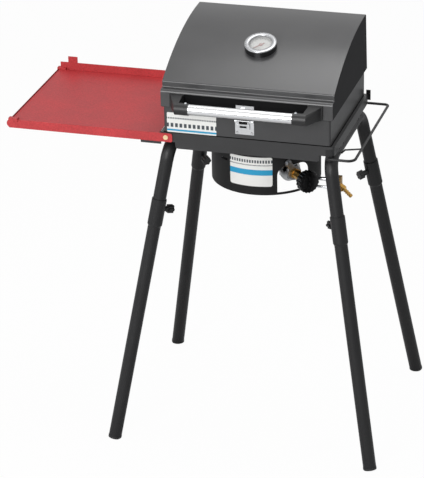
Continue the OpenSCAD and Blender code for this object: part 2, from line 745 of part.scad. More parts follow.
module wire_rack() color("#3a3a3c") {
    x = rack_x + rack_reach;
    z = rack_z;
    front_r = 18;
    rear_r = 10;
    in_r = 6;
    inner_y = frame_d / 2 - 5;
    rod_y([x, -rack_y + front_r - nip, z], rod_d, 2 * rack_y - front_r - rear_r + 2 * nip);
    bend_flat([x - front_r, -rack_y + front_r, z], front_r, 270);
    bend_flat([x - rear_r, rack_y - rear_r, z], rear_r, 0);
    rod_x([rack_x + in_r - nip, -rack_y, z], rod_d, rack_reach - front_r - in_r + 2 * nip);
    rod_x([rack_x + in_r - nip, rack_y, z], rod_d, rack_reach - rear_r - in_r + 2 * nip);
    bend_flat([rack_x + in_r, -rack_y + in_r, z], in_r, 180);
    bend_flat([rack_x + in_r, rack_y - in_r, z], in_r, 90);
    rod_y([rack_x, -rack_y + in_r - nip, z], rod_d, rack_y - in_r - inner_y + nip);
    rod_y([rack_x, inner_y, z], rod_d, rack_y - in_r - inner_y + nip);
    hook = [rack_x + 23, 66.5 - frame_d / 2, z - 4];
    tip = hook - [7.4, 2, 7];
    bar([x, hook[1] + 5, z], hook, 4);
    translate(hook) sphere(d = 4.6);
    bar(hook, tip, 4);
    translate(tip) sphere(d = 4.6);
}

// A quarter bend of the rack's rod, lying flat
module bend_flat(at, r, turn) {
    translate(at) rotate([0, 0, turn]) rotate_extrude(angle = 90)
        translate([r, 0]) circle(d = rod_d + 2 * swell / 3);
}

// ---- Grill box ----

module grill_box() color("#4a4a4c") {
    z = frame_top;
    t = box_sheet;
    difference() {
        slab(box_w, box_d, 5, z, z + seam_h + 6);
        slab(box_w - 2 * t, box_d - 2 * t, 3.8, z + t, z + seam_h + 20);
        slab(box_w - 108, box_d - 103, 20, z - over, z + t + over);
        for (side = [-1, 1], end = [-1, 1]) corner(side, end)
            translate([diffuser_x, -diffuser_y, z - over]) cylinder(d = screw_hole, h = 10);
    }
    for (end = [-1, 1]) mirror([0, end > 0 ? 1 : 0, 0]) {
        block([-box_w / 2 + t, -box_d / 2 + t, z + seam_h - 22],
            [box_w / 2 - t, -box_d / 2 + 14, z + seam_h - 22 + t]);
    }
}

module heat_diffuser() color("#6a6b6e") {
    z = frame_top + box_sheet;
    difference() {
        union() {
            for (side = [-1, 1], end = [-1, 1]) corner(side, end) {
                block([diffuser_x - 12, -diffuser_y - 8, z + 0.05],
                    [diffuser_x + 12, 8 - diffuser_y, z + 1.5]);
                block([diffuser_x - 12, -diffuser_y - 8, z + 0.05],
                    [diffuser_x - 10, 8 - diffuser_y, z + 18]);
            }
            block([10 - diffuser_x, -diffuser_y - 8, z + 16.5],
                [diffuser_x - 10, diffuser_y + 8, z + 18]);
        }
        for (side = [-1, 1], end = [-1, 1]) corner(side, end)
            translate([diffuser_x, -diffuser_y, z - over]) cylinder(d = screw_hole, h = 10);
        for (x = [-120:30:120], y = [-105:30:105]) translate([x, y, z + 14])
            cylinder(d = 9, h = 6, $fn = 24);
    }
}

module cooking_grates() color("#1f1f21") {
    z = frame_top + seam_h - 22 + box_sheet + 0.1;
    w = box_w / 2 - box_sheet - 1.5;
    d = box_d - 2 * box_sheet - 5;
    pitch = (w - 10) / (grate_bars - 1);
    for (side = [0, 1]) mirror([side, 0, 0]) {
        for (i = [0:grate_bars - 1])
            block([1 + i * pitch, -d / 2, z], [9 + i * pitch, d / 2, z + grate_t]);
        for (y = [-d / 2, -4, d / 2 - 8])
            block([1, y, z], [w - 1, y + 8, z + grate_t - 2]);
    }
}

module box_label() color("#d5d7d8") {
    y = -box_d / 2;
    low = frame_top + 1;
    high = frame_top + 51.5;
    left = 8 - box_w / 2;
    right = left + 122;
    r = 3;
    block([left + r, y - 0.5, low], [right - r, y, high]);
    block([left, y - 0.5, low + r], [right, y, high - r]);
    for (x = [left + r, right - r], z = [low + r, high - r]) rod_y([x, y - 0.5, z], 2 * r, 0.5);
}

module latch_plate() color("#3a3a3c") {
    y = -box_d / 2;
    z = frame_top;
    block([-27, y - 1.5, z + 12], [19, y, z + 46]);
    for (x = [-27, 13]) difference() {
        union() {
            block([x, y - 7.5, z + 44], [x + 6, y, z + 47]);
            rod_x([x, y - 4, latch_z], 7, 6);
        }
        rod_x([x - over, y - 4, latch_z], latch_pin_d + 2 * run_fit, 10);
    }
    for (x = [-22, 14]) translate([x, y - 1.4, z + 17]) rotate([90, 0, 0])
        cylinder(d1 = 6, d2 = 3, h = 1.6);
}

module latch_flap() color("#2b2b2d") {
    y = -box_d / 2 - 4;
    z = latch_z;
    rod_x([-26, y, z], latch_pin_d, 44);
    for (x = [-20, 4]) block([x, y - 1.2, z - 9], [x + 3, y + 1.2, z]);
    difference() {
        block([-22, y - 1.5, z - 21], [9, y + 1.5, z - 8]);
        block([-15, y - 5, z - 17], [2, y + 5, z - 12]);
    }
}

module box_hinge_leaves() color("#2f2f31") for (side = [-1, 1]) {
    y = box_d / 2;
    difference() {
        union() {
            block([side * hinge_x - 20, y, hinge_z - 34], [side * hinge_x + 20, y + 1.5,
                hinge_z - 5]);
            for (x = [-20, 10]) {
                block([side * hinge_x + x, y, hinge_z - 9], [side * hinge_x + x + 10, hinge_y,
                    hinge_z - 5.5]);
                block([side * hinge_x + x, hinge_y - 4, hinge_z - 9],
                    [side * hinge_x + x + 10, hinge_y + 4, hinge_z]);
                rod_x([side * hinge_x + x, hinge_y, hinge_z], 9, 10);
            }
        }
        rod_x([side * hinge_x - 30, hinge_y, hinge_z], hinge_pin_d + 2 * push_fit, 60);
    }
}

module hinge_pins() color("#8d8f92") for (side = [-1, 1]) {
    rod_x([side * hinge_x - 22, hinge_y, hinge_z], hinge_pin_d, 44);
    for (x = [-23.5, 20.3]) rod_x([side * hinge_x + x, hinge_y, hinge_z], 8, 3.2);
}

// ---- Lid ----

// The lid's solid shape, made smaller all round by a given amount
module lid_solid(inset, half_w, low) {
    r = dome_r - inset;
    bend = 8 - inset;
    y0 = front_y + inset;
    ys = step_y + inset;
    tangent_y = dome_y - (dome_y - fold_y) * dome_r / (dome_r - fold_r);
    rear_y = dome_y - 1.5;
    rear_z = dome_z + sqrt(pow(dome_r - 8, 2) - 2.25);
    intersection() {
        union() {
            intersection() {
                rod_x([-half_w, dome_y, dome_z], 2 * r, 2 * half_w, $fn = 180);
                block([-half_w, tangent_y, low], [half_w, rear_y, dome_z + dome_r + over]);
            }
            rod_x([-half_w, fold_y, fold_z], 2 * (fold_r - inset), 2 * half_w);
            block([-half_w, ys, low], [half_w, tangent_y + 8, fold_z]);
            block([-half_w, y0, low], [half_w, 0, step_z - 8]);
            block([-half_w, front_y + 8, low], [half_w, 0, step_z - inset]);
            rod_x([-half_w, front_y + 8, step_z - 8], 2 * bend, 2 * half_w);
            difference() {
                block([-half_w, step_y - nook_r, low], [half_w, 0, step_z + nook_r]);
                rod_x([-half_w - over, step_y - nook_r, step_z + nook_r], 2 * (nook_r + inset),
                    2 * half_w + 2 * over);
            }
            rod_x([-half_w, rear_y, rear_z], 2 * bend, 2 * half_w);
            block([-half_w, rear_y, low], [half_w, lid_d, rear_z]);
        }
        translate([0, rear_y, rear_z]) rotate([rear_lean, 0, 0])
            block([-half_w, -2 * lid_d, -frame_top], [half_w, bend, frame_top]);
    }
}

module lid_cover() color("#4c4c4f") difference() {
    lid_solid(0, lid_w / 2, frame_top + seam_h);
    lid_solid(box_sheet, lid_w / 2 + over, frame_top + seam_h - over);
    for (x = [-bolt_x, bolt_x]) rod_y([x, front_y - over, bolt_z], bolt_hole, 10);
    at_gauge() translate([0, 0, -10]) cylinder(d = 9, h = 20);
}

module lid_side() color("#2e2e30") difference() {
    half = lid_w / 2 - 0.4;
    intersection() {
        lid_solid(box_sheet + 0.05, half, frame_top + seam_h);
        block([half - 12, -lid_d, 0], [half, lid_d, 2 * frame_top]);
    }
    lid_solid(2 * box_sheet + 0.05, half - box_sheet, frame_top + seam_h - over);
}

module lid_side_right() lid_side();
module lid_side_left() mirror([1, 0, 0]) lid_side();

module latch_keeper() color("#3a3a3c") {
    z = frame_top + seam_h;
    difference() {
        block([-24, front_y - 1.5, z + 0.5], [20, front_y, z + 20]);
        block([-27, front_y - 3, z - 1], [-19, front_y + 3, z + 5]);
    }
    block([-12, front_y - 6, z + 11], [-1, front_y, z + 14]);
}

module lid_hinge_leaves() color("#2f2f31") for (side = [-1, 1]) difference() {
    union() {
        rod_x([side * hinge_x - 9.7, hinge_y, hinge_z], 9, 19.4);
        block([side * hinge_x - 9.7, hinge_y - 4.5, hinge_z], [side * hinge_x + 9.7, hinge_y,
            hinge_z + 8]);
        block([side * hinge_x - 9.7, lid_d / 2 - 8, hinge_z + 4], [side * hinge_x + 9.7,
            hinge_y - 1, hinge_z + 8]);
        translate([side * hinge_x, dome_y - 1.5, dome_z + dome_r - 8])
            rotate([rear_lean, 0, 0])
                block([-20, 8, seam_h - lid_rise + 5], [20, 9.5, seam_h - lid_rise + 32]);
    }
    rod_x([side * hinge_x - 30, hinge_y, hinge_z], hinge_pin_d + 2 * run_fit, 60);
    lid_solid(0, lid_w / 2, frame_top);
}

module handle_tube() color("#c4c6c8")
    difference() {
        rod_x([-handle_l / 2, handle_y, handle_z], handle_d, handle_l);
        rod_x([-handle_l / 2 - over, handle_y, handle_z], handle_d - 3, handle_l + 2 * over);
        for (x = [-cap_screw_x, cap_screw_x]) translate([x, handle_y, handle_z])
            cylinder(d = 3, h = 20);
    }

module handle_bracket_right() color("#151516") difference() {
    union() {
        hull() {
            rod_x([cap_x + 24, handle_y, handle_z], handle_d + 3.6, 9);
            block([bolt_x - 15, front_y - 7, handle_z - 15],
                [bolt_x + 15, front_y - 6, handle_z + 18]);
        }
        rod_x([cap_x, handle_y, handle_z], handle_d + 3.6, 30);
        block([bolt_x - 17, front_y - 7, handle_z - 15.5],
            [bolt_x + 17.5, front_y, handle_z + 18.5]);
    }
    rod_x([cap_x - over, handle_y, handle_z], handle_d + 2 * push_fit,
        handle_l / 2 - cap_x + over + gap);
    translate([cap_screw_x, handle_y, handle_z]) cylinder(d = 3.2, h = 30);
    rod_y([bolt_x, front_y - 20, bolt_z], 6.2, 30);
}

module handle_bracket_left() mirror([1, 0, 0]) handle_bracket_right();

module handle_screws() color("#b9bbbd") for (side = [0, 1]) mirror([side, 0, 0]) {
    translate([cap_screw_x, handle_y, handle_z + 11.2]) cylinder(d = 2.8, h = 5);
    translate([cap_screw_x, handle_y, handle_z + 14.6]) cylinder(d1 = 7, d2 = 4, h = 2.4);
    rod_y([bolt_x, front_y - 17, bolt_z], 6, 17 + box_sheet + 5);
    translate([bolt_x, front_y + box_sheet + 0.1, bolt_z]) rotate([-90, 0, 0])
        hex_head(10, 4);
}

// The thermometer's place, with Z pointing out of the lid
module at_gauge() {
    translate([0, dome_y, dome_z]) rotate([gauge_tilt, 0, 0]) translate([0, 0, dome_r])
        children();
}

module gauge_case() color("#c8cacc") difference() {
    at_gauge() difference() {
        union() {
            translate([0, 0, -2]) cylinder(d = gauge_d, h = gauge_h - 1);
            translate([0, 0, gauge_h - 3]) cylinder(d1 = gauge_d, d2 = gauge_d - 8, h = 3);
        }
        translate([0, 0, 3]) cylinder(d = gauge_d - 14, h = gauge_h);
        translate([0, 0, -5]) cylinder(d = 8.2, h = 20);
    }
    rod_x([-gauge_d, dome_y, dome_z], 2 * dome_r + 0.04, 2 * gauge_d, $fn = 180);
}

module gauge_dial() color("#e8e8e6") at_gauge() difference() {
    translate([0, 0, 3.05]) cylinder(d = gauge_d - 14.4, h = 4);
    cylinder(d = 8.2, h = 20);
}

module gauge_probe() color("#c0c2c4") at_gauge() {
    translate([0, 0, -probe_l]) cylinder(d = 5, h = probe_l - 8);
    translate([0, 0, -12]) cylinder(d = 8, h = 18);
    translate([0, 0, -5.4]) difference() {
        hex_head(14, 4);
        translate([0, 0, -1]) cylinder(d = 7, h = 6);
    }
}

module gauge_needle() color("#b3201f") at_gauge() translate([0, 0, 7.6]) {
    cylinder(d = 9, h = 1.6);
    rotate([0, 0, 225]) {
        block([-10, -1.5, 0], [0, 1.5, 1]);
        linear_extrude(1) polygon([[0, -1.6], [gauge_d / 2 - 12, -0.4],
            [gauge_d / 2 - 12, 0.4], [0, 1.6]]);
    }
}

module gauge_glass() color("#dfe8ea", 0.4) at_gauge()
    translate([0, 0, gauge_h - 3.4]) cylinder(d = gauge_d - 14.3, h = 2);

stove_frame();
front_apron();
leg_tube_left();
leg_tube_right();
tube_saddles();
saddle_bolts();
drum();
drum_screws();
drum_label();
burner_head();
mixer_tube();
burner_strap();
valve_bracket();
valve_body();
inlet_pipe();
stay_rod();
hose_barb();
stove_grate();
shelf_rivets();
shelf_supports();
rack_hangers();
lower_leg_front_left();
lower_leg_front_right();
lower_leg_rear_left();
lower_leg_rear_right();
foot_cap_front_left();
foot_cap_front_right();
foot_cap_rear_left();
foot_cap_rear_right();
thumbscrew_front_left();
thumbscrew_front_right();
thumbscrew_rear_left();
thumbscrew_rear_right();
air_shutter();
valve_stem();
control_knob();
side_shelf();
wire_rack();
grill_box();
heat_diffuser();
cooking_grates();
box_label();
latch_plate();
latch_flap();
box_hinge_leaves();
hinge_pins();
lid_cover();
lid_side_left();
lid_side_right();
latch_keeper();
lid_hinge_leaves();
handle_tube();
handle_bracket_left();
handle_bracket_right();
handle_screws();
gauge_case();
gauge_dial();
gauge_needle();
gauge_glass();
gauge_probe();
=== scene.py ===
"""Looks of a gas barbecue grill on a camp stove, laid out as a Blender add-on."""
import json
from math import cos, pi, radians, sin

import bmesh
import bpy
import numpy as np
from bpy.props import FloatProperty, FloatVectorProperty, PointerProperty
from mathutils import Matrix, Vector


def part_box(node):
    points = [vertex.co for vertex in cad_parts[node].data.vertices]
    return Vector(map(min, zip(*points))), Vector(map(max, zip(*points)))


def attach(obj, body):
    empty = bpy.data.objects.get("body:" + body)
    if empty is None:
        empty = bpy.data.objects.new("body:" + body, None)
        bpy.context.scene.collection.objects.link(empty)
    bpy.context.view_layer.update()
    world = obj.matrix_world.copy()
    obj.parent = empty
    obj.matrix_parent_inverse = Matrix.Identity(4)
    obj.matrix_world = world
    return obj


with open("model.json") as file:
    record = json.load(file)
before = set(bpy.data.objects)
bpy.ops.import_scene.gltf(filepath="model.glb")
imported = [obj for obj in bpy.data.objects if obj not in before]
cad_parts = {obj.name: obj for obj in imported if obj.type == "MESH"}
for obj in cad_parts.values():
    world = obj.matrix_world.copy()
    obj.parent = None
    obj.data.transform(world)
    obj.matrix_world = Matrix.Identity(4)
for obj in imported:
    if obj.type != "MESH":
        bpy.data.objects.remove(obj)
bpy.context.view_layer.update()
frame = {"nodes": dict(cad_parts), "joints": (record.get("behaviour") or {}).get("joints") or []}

bl_info = {
    "name": "Gas Barbecue Grill",
    "version": (1, 0, 0),
    "blender": (4, 5, 0),
    "location": "View3D > Sidebar > Grill",
    "description": "Finishes, trim and studio for a camp-stove barbecue grill",
    "category": "Object",
}

MM = 0.001


# ---- Colours, nodes and meshes ----

def srgb(code):
    """Linear RGBA from an sRGB hex code, by the sRGB transfer curve."""
    c = np.array([int(code[i:i + 2], 16) for i in (1, 3, 5)]) / 255
    linear = np.where(c <= 0.04045, c / 12.92, ((c + 0.055) / 1.055) ** 2.4)
    return (*linear.tolist(), 1.0)


def node(tree, kind, *links, **settings):
    """Adds a node. Settings name its properties or, as in_NAME, its inputs, and each
    link is (from node, output, input)."""
    n = tree.nodes.new(kind)
    for key, value in settings.items():
        if key.startswith("in_"):
            socket = key[3:].replace("_", " ")
            n.inputs[int(socket) if socket.isdigit() else socket].default_value = value
        else:
            setattr(n, key, value)
    for source, output, target in links:
        tree.links.new(source.outputs[output], n.inputs[target])
    return n


def shade(name):
    """A new material's tree, its Principled shader and its Object coordinates."""
    m = bpy.data.materials.new(name)
    m.use_nodes = True
    tree = m.node_tree
    bsdf = tree.nodes["Principled BSDF"]
    return m, tree, bsdf, node(tree, "ShaderNodeTexCoord")


def ramp(tree, source, output, stops):
    """A colour ramp over a value, from (position, linear colour) stops."""
    n = node(tree, "ShaderNodeValToRGB", (source, output, "Fac"))
    elements = n.color_ramp.elements
    while len(elements) < len(stops):
        elements.new(0.5)
    for element, (position, colour) in zip(elements, stops):
        element.position = position
        element.color = colour
    return n


def paint(names, material):
    """Gives CAD nodes or pieces a finish in every slot they have."""
    for name in names:
        o = frame["nodes"].get(name) or bpy.data.objects[name]
        if not o.material_slots:
            o.data.materials.append(material)
        for s in o.material_slots:
            s.material = material


def surface(name, points, wrap_u=False, wrap_v=False):
    """A mesh object from a grid of points, shape (u, v, 3): each cell of the grid is one
    face, and a wrapped direction joins its last row to its first."""
    nu, nv = points.shape[:2]
    u = np.arange(nu if wrap_u else nu - 1)
    v = np.arange(nv if wrap_v else nv - 1)
    a, b = np.meshgrid(u, v, indexing="ij")
    a2, b2 = (a + 1) % nu, (b + 1) % nv
    faces = np.stack([a * nv + b, a2 * nv + b, a2 * nv + b2, a * nv + b2], -1).reshape(-1, 4)
    mesh = bpy.data.meshes.new(name)
    mesh.from_pydata(points.reshape(-1, 3).tolist(), [], faces.tolist())
    return shown(name, mesh, smooth=True)


def shown(name, mesh, smooth):
    """Puts a mesh in the scene with its poles merged and its faces turned outwards."""
    work = bmesh.new()
    work.from_mesh(mesh)
    bmesh.ops.remove_doubles(work, verts=work.verts, dist=0.001 * MM)
    bmesh.ops.recalc_face_normals(work, faces=work.faces)
    work.to_mesh(mesh)
    work.free()
    mesh.polygons.foreach_set("use_smooth", np.full(len(mesh.polygons), smooth))
    mesh.update()
    o = bpy.data.objects.new(name, mesh)
    bpy.context.collection.objects.link(o)
    return o


def ring(name, profile, place, segments=96):
    """A ring turned about the local Z axis: a closed outline of (radius r, height z) gives
    the points (r cos a, r sin a, z), a from 0 to 2 pi, put in place by a matrix."""
    a = np.linspace(0, 2 * pi, segments, endpoint=False)[:, None]
    r, z = np.asarray(profile, float).T
    points = np.stack([r * np.cos(a), r * np.sin(a), z + 0 * a], -1)
    return surface(name, placed(points, place), wrap_u=True, wrap_v=True)


def bead(name, path, radius, sides=10):
    """A round bead along a path with closed ends. Round each point P, whose tangent is T,
    lies the ring P + r (cos a S + sin a U), with S = T x Z and U = S x T."""
    path = np.asarray(path, float)
    along = np.gradient(path, axis=0)
    along /= np.linalg.norm(along, axis=1, keepdims=True)
    across = np.cross(along, (0, 0, 1))
    across /= np.linalg.norm(across, axis=1, keepdims=True)
    upward = np.cross(across, along)
    path, across, upward = (np.concatenate([v[:1], v, v[-1:]])[:, None]
                            for v in (path, across, upward))
    a = np.linspace(0, 2 * pi, sides, endpoint=False)[None, :, None]
    r = np.full(len(path), radius)
    r[[0, -1]] = 0
    points = path + r[:, None, None] * (np.cos(a) * across + np.sin(a) * upward)
    return surface(name, points, wrap_v=True)


BOX_CORNERS = np.array([(x, y, z) for x in (0, 1) for y in (0, 1) for z in (0, 1)])
BOX_FACES = np.array([(0, 1, 3, 2), (4, 6, 7, 5), (0, 4, 5, 1), (2, 3, 7, 6), (0, 2, 6, 4),
                      (1, 5, 7, 3)])


def boxes(name, low, high, turn=(0.0,), place=Matrix.Identity(4)):
    """A row of boxes as one mesh. Box k has the corners low + c (high - low), c in {0, 1}^3,
    turned about the local Z axis by turn[k] and then put in place by a matrix."""
    low, high = np.broadcast_arrays(np.atleast_2d(low), np.atleast_2d(high))
    p = low[:, None] + BOX_CORNERS * (high - low)[:, None]
    c, s = np.cos(turn)[:, None], np.sin(turn)[:, None]
    p = np.stack([c * p[..., 0] - s * p[..., 1], s * p[..., 0] + c * p[..., 1], p[..., 2]], -1)
    faces = (8 * np.arange(len(p))[:, None, None] + BOX_FACES).reshape(-1, 4)
    mesh = bpy.data.meshes.new(name)
    mesh.from_pydata(placed(p.reshape(-1, 3), place).tolist(), [], faces.tolist())
    return shown(name, mesh, smooth=False)


def placed(points, place):
    """Points carried from a local frame into the row frame."""
    m = np.array(place)
    return points @ m[:3, :3].T + m[:3, 3]


def joint(name):
    """A joint of the record: its point and its axis."""
    j = next(j for j in frame["joints"] if j["name"] == name)
    return Vector(j.get("pos_m") or (0, 0, 0)), Vector(j["axis"])


def axis_frame(point, z, x):
    """A matrix whose Z is one direction and whose X lies as near another as it can."""
    z = Vector(z).normalized()
    y = z.cross(Vector(x)).normalized()
    x = y.cross(z)
    m = Matrix((x, y, z)).transposed().to_4x4()
    m.translation = point
    return m


# ---- Finishes ----

DASH_PART = 0.62       # dark part of a printed dash's pitch


def noise(tree, coords, scale, detail=2.0):
    """A noise over the Object coordinates, scale counting its cells per metre."""
    return node(tree, "ShaderNodeTexNoise", (coords, "Object", "Vector"),
                in_Scale=scale, in_Detail=detail)


def ripple(tree, bsdf, source, output, strength, depth):
    """Lets a pattern tilt the surface, depth being the height of its full swing in m."""
    bump = node(tree, "ShaderNodeBump", (source, output, "Height"),
                in_Strength=strength, in_Distance=depth)
    tree.links.new(bump.outputs["Normal"], bsdf.inputs["Normal"])


def vary_roughness(tree, bsdf, source, low, high):
    """Runs the roughness from low to high with a noise."""
    spread = node(tree, "ShaderNodeMapRange", (source, "Fac", "Value"), in_3=low, in_4=high)
    tree.links.new(spread.outputs["Result"], bsdf.inputs["Roughness"])


def powder_coat(name, colour, rough, shade_by=1.0, gloss=0.35, speck=0.0):
    """Polyester powder coat, sprayed and baked on steel: an even colour with faint clouds
    a hand wide, and an orange-peel ripple of about 2 mm which breaks its highlights
    softly. Specks, as a share of its brightness, lie 3 mm apart. A shade factor under 1
    darkens the colour as painted shade, for parts that stand in shade."""
    m, tree, bsdf, coords = shade(name)
    base = np.array(colour)[:3] * shade_by
    cloud = noise(tree, coords, 11.0, 3.0)
    tone = ramp(tree, cloud, "Fac", [(0.35, (*base * 0.93, 1)), (0.65, (*base * 1.07, 1))])
    fine = noise(tree, coords, 330.0)
    level = node(tree, "ShaderNodeMapRange", (fine, "Fac", "Value"), in_1=0.3, in_2=0.7,
                 in_3=1 - speck, in_4=1 + speck)
    mottled = node(tree, "ShaderNodeVectorMath", (tone, "Color", 0), (level, "Result", 1),
                   operation="MULTIPLY")
    tree.links.new(mottled.outputs["Vector"], bsdf.inputs["Base Color"])
    peel = noise(tree, coords, 420.0, 1.0)
    ripple(tree, bsdf, peel, "Fac", 0.12, 0.4 * MM)
    vary_roughness(tree, bsdf, cloud, rough - 0.05, rough + 0.06)
    bsdf.inputs["Specular IOR Level"].default_value = gloss
    return m


def bare_metal(name, code, rough, stretch=(1, 1, 1), scale=300.0, depth=0.15):
    """Bare or plated metal, ground or drawn: fine lines along the work, about 0.3 mm apart
    and drawn coarser than life, spread its highlight across them."""
    m, tree, bsdf, coords = shade(name)
    turn = node(tree, "ShaderNodeMapping", (coords, "Object", "Vector"), in_Scale=stretch)
    grain = node(tree, "ShaderNodeTexNoise", (turn, "Vector", "Vector"),
                 in_Scale=scale, in_Detail=4.0)
    vary_roughness(tree, bsdf, grain, rough * 0.7, rough * 1.35)
    ripple(tree, bsdf, grain, "Fac", depth, 0.2 * MM)
    bsdf.inputs["Base Color"].default_value = srgb(code)
    bsdf.inputs["Metallic"].default_value = 1.0
    return m


def moulded(name, code, rough, grain=900.0, depth=0.25):
    """Moulded plastic with a spark-eroded texture of about 0.5 mm, which keeps it matt."""
    m, tree, bsdf, coords = shade(name)
    skin = node(tree, "ShaderNodeTexVoronoi", (coords, "Object", "Vector"), in_Scale=grain)
    ripple(tree, bsdf, skin, "Distance", depth, 0.2 * MM)
    vary_roughness(tree, bsdf, noise(tree, coords, 30.0), rough - 0.04, rough + 0.05)
    bsdf.inputs["Base Color"].default_value = srgb(code)
    return m


def cast(name, code):
    """Sand-cast iron, blackened and seasoned: grainy at 1 mm, with a dull oily sheen."""
    m, tree, bsdf, coords = shade(name)
    ripple(tree, bsdf, noise(tree, coords, 700.0, 6.0), "Fac", 0.6, 0.6 * MM)
    bsdf.inputs["Base Color"].default_value = srgb(code)
    bsdf.inputs["Roughness"].default_value = 0.62
    bsdf.inputs["Metallic"].default_value = 0.3
    return m


def label_foil(name, low, high, band, rows):
    """Printed aluminium foil: brushed silver with one plain coloured band, and rows of short
    dark dashes. Each row is (its foot, its top, the pitch of its dashes in mm), with foot and
    top as shares of the label's height; rows starts with the foot and top of the band."""
    m, tree, bsdf, coords = shade(name)
    (foot, top), *dashes = rows
    split = node(tree, "ShaderNodeSeparateXYZ", (coords, "Object", "Vector"))
    height = node(tree, "ShaderNodeMapRange", (split, "Z", "Value"), in_1=low, in_2=high)
    foil, ink = srgb("#E2E2DF"), srgb("#3B4248")
    bands = ramp(tree, height, "Result", [(0.0, foil), (foot, tuple(band)), (top, foil)])
    bands.color_ramp.interpolation = "CONSTANT"
    colour = (bands, "Color")
    for foot, top, pitch in dashes:
        row = ramp(tree, height, "Result",
                   [(0.0, (0,) * 4), (foot, (1,) * 4), (top, (0,) * 4)])
        row.color_ramp.interpolation = "CONSTANT"
        count = node(tree, "ShaderNodeMath", (split, "X", 0), operation="DIVIDE",
                     in_1=pitch * MM)
        part = node(tree, "ShaderNodeMath", (count, "Value", 0), operation="FRACT")
        dash = node(tree, "ShaderNodeMath", (part, "Value", 0), operation="LESS_THAN",
                    in_1=DASH_PART)
        printed = node(tree, "ShaderNodeMath", (dash, "Value", 0), (row, "Color", 1),
                       operation="MULTIPLY")
        mix = node(tree, "ShaderNodeMixRGB", (printed, "Value", "Fac"),
                   (*colour, "Color1"), in_Color2=ink)
        colour = (mix, "Color")
    tree.links.new(colour[0].outputs[colour[1]], bsdf.inputs["Base Color"])
    vary_roughness(tree, bsdf, noise(tree, coords, 260.0), 0.38, 0.5)
    bsdf.inputs["Metallic"].default_value = 0.1
    return m


def plain(name, code, rough, metal=0.0, **extra):
    """A smooth finish with one colour, for pieces too small or plain to show a pattern;
    a faint cloud in its gloss keeps it from looking like paint on glass."""
    m, tree, bsdf, coords = shade(name)
    vary_roughness(tree, bsdf, noise(tree, coords, 45.0), rough - 0.03, rough + 0.04)
    bsdf.inputs["Base Color"].default_value = srgb(code)
    bsdf.inputs["Metallic"].default_value = metal
    for key, value in extra.items():
        bsdf.inputs[key].default_value = value
    return m


# ---- Sizes and colours that a user may change ----

def colour_prop(name, description, code):
    """A colour that a user may change, given as an sRGB hex code."""
    return FloatVectorProperty(name=name, description=description, subtype="COLOR", size=4,
                               min=0.0, max=1.0, default=srgb(code))


def length_prop(name, description, mm):
    """A length that a user may change, given in mm."""
    return FloatProperty(name=name, description=description, default=mm * MM,
                         min=0.0, unit="LENGTH", subtype="DISTANCE")


class GrillColours(bpy.types.PropertyGroup):
    lid: colour_prop("Lid", "Enamel of the lid, box and frame", "#3C3C3D")
    legs: colour_prop("Legs", "Powder coat of the legs and small fittings", "#1F1F20")
    shelf: colour_prop("Shelf", "Powder coat of the side shelf", "#B8393C")
    band: colour_prop("Label band", "Printed band on the two labels", "#1B93BE")


class GrillSizes(bpy.types.PropertyGroup):
    shade_bead: length_prop("Shade bead", "Diameter of the beads of painted shade along the seams and the shelf's folds", 1.8)
    tick: length_prop("Tick", "Length of a long mark on the thermometer", 5.0)
    floor: length_prop("Floor", "Width of the studio floor", 24000.0)


# ---- Operators: the finishes of the pieces that the frame brings ----

SIDES = ("left", "right")
CORNERS = tuple(f"{end}_{side}" for end in ("front", "rear") for side in SIDES)


def per_corner(*names):
    """The names of the pieces that come once for each leg."""
    return [f"{name}_{corner}" for name in names for corner in CORNERS]


class GRILL_OT_steelwork(bpy.types.Operator):
    """Coat the lid, box, frame, legs, shelf and their small steel fittings"""
    bl_idname = "grill.steelwork"
    bl_label = "Coated Steelwork"

    def execute(self, context):
        c = context.scene.grill_colours
        # High-temperature enamel, sprayed on pressed sheet: satin, so the dome carries one
        # broad soft highlight instead of a mirror image
        paint(["lid_cover"],
              powder_coat("Sprayed heat-proof enamel, lid", c.lid, 0.30, gloss=0.6))
        # Painted shade: the lid's ends, the box, the frame and the drum take the lid's enamel
        # made darker by the shade factor, for the shade they stand in
        paint(["lid_side_left", "lid_side_right", "lid_hinge_leaves"],
              powder_coat("Heat-proof enamel, lid ends, darkened as painted shade", c.lid, 0.5,
                          shade_by=0.8, gloss=0.02))
        paint(["grill_box", "box_hinge_leaves"],
              powder_coat("Heat-proof enamel, box, darkened as painted shade", c.lid, 0.34, shade_by=0.8, gloss=0.5))
        paint(["stove_frame", "front_apron", "shelf_supports", "tube_saddles"],
              powder_coat("Powder coat, frame, darkened as painted shade", c.lid, 0.38, shade_by=0.6, gloss=0.4))
        paint(["drum"],
              powder_coat("Powder coat, drum, darkened as painted shade", c.lid, 0.5, shade_by=0.25, gloss=0.15))
        # Semi-gloss powder coat on drawn tube: a narrow streak down each leg
        paint(["leg_tube_left", "leg_tube_right", "rack_hangers", "wire_rack",
               *per_corner("lower_leg")],
              powder_coat("Baked powder coat, legs", c.legs, 0.38, gloss=0.3))
        # Fine-textured powder coat on folded sheet: even and matt, with no mirror streaks
        paint(["side_shelf"],
              powder_coat("Baked powder coat, red shelf", c.shelf, 0.5, speck=0.16))
        return {"FINISHED"}


class GRILL_OT_castings(bpy.types.Operator):
    """Give the cast iron burner and grates their seasoned skin"""
    bl_idname = "grill.castings"
    bl_label = "Castings"

    def execute(self, context):
        paint(["burner_head"], cast("Sand-cast iron, burner", "#3A3A3B"))
        paint(["stove_grate", "cooking_grates"], cast("Seasoned cast iron, grates", "#232324"))
        return {"FINISHED"}


